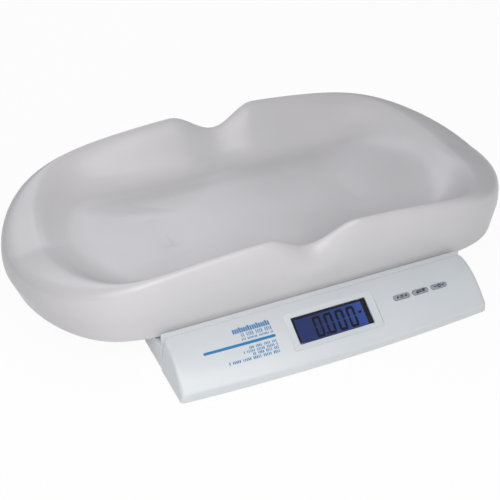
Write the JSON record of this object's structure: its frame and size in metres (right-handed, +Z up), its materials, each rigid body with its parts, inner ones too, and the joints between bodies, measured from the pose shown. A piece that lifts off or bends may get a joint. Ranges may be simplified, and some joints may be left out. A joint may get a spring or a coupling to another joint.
{
  "type": "digital baby weighing scale",
  "caption": "Low baby weighing scale with a moulded cradle tray on a load cell, a sloping front console with a lit display and soft press keys, rubber feet and a battery door underneath.",
  "frame": {"origin": "middle of the footprint, on the floor under the rubber feet", "axes": "+X along the tray's length, -Y towards the console and the person who reads it, +Z up"},
  "size_m": [0.546, 0.3337, 0.1106],
  "materials": {
    "tray_abs": "smooth injection-moulded ABS, glossy",
    "cover_abs": "injection-moulded ABS, satin gloss",
    "pan_abs": "injection-moulded ABS, fine texture",
    "window_pc": "clear moulded window",
    "lcd_glass": "blue back-lit liquid crystal glass",
    "backlight": "light guide",
    "frame_black": "moulded black plastic",
    "zebra_rubber": "elastomer connector strip",
    "button_grey": "moulded, satin",
    "board_green": "glass-fibre board with solder mask",
    "connector_nylon": "moulded nylon",
    "cell_aluminium": "milled",
    "gauge_film": "polyimide film gauge",
    "plated_steel": "zinc-plated sheet",
    "screw_steel": "zinc-plated",
    "contact_nickel": "nickel-plated spring steel",
    "pad_rubber": "moulded rubber",
    "cell_sleeve": "plain sleeve",
    "lead_grey": "jacketed lead",
    "lead_red": "insulated lead"
  },
  "bodies": {
    "base": {"tray_carrier": "plated_steel", "carrier_pads": "pad_rubber", "carrier_screws": "screw_steel", "carrier_spacer": "cell_aluminium", "load_cell": "cell_aluminium", "strain_gauges": "gauge_film", "base_spacer": "cell_aluminium", "cell_screws": "screw_steel", "base_plate": "plated_steel", "plate_screws": "screw_steel", "overload_stops": "plated_steel", "base_cover": "cover_abs", "base_pan": "pan_abs", "feet": "pad_rubber", "housing_screws": "screw_steel", "console_cover": "cover_abs", "display_window": "window_pc", "lcd_frame": "frame_black", "lcd_glass": "lcd_glass", "zebra_strips": "zebra_rubber", "backlight": "backlight", "main_board": "board_green", "board_chips": "frame_black", "board_connectors": "connector_nylon", "board_screws": "screw_steel", "switch_tare": "frame_black", "switch_unit": "frame_black", "switch_power": "frame_black", "battery_cells": "cell_sleeve", "battery_contacts": "contact_nickel", "load_cell_lead": "lead_grey", "battery_lead": "lead_red"},
    "tray": {"tray": "tray_abs"},
    "key_tare": {"button_tare": "button_grey", "plunger_tare": "frame_black"},
    "key_unit": {"button_unit": "button_grey", "plunger_unit": "frame_black"},
    "key_power": {"button_power": "button_grey", "plunger_power": "frame_black"},
    "door": {"battery_door": "pan_abs"}
  },
  "joints": [
    {"name": "tray_lift", "type": "slide", "parent": "base", "child": "tray", "axis": [0, 0, 1], "range_m": [0, 0.06]},
    {"name": "tare_press", "type": "slide", "parent": "base", "child": "key_tare", "axis": [0, 0.5299, -0.848], "range_m": [0, 0.0005], "stiffness_N_per_m": 600},
    {"name": "unit_press", "type": "slide", "parent": "base", "child": "key_unit", "axis": [0, 0.5299, -0.848], "range_m": [0, 0.0005], "stiffness_N_per_m": 600},
    {"name": "power_press", "type": "slide", "parent": "base", "child": "key_power", "axis": [0, 0.5299, -0.848], "range_m": [0, 0.0005], "stiffness_N_per_m": 600},
    {"name": "battery_door_hinge", "type": "hinge", "parent": "base", "child": "door", "pos_m": [0.09, 0.053, 0.0045], "axis": [-1, 0, 0], "range_deg": [0, 75]}
  ]
}
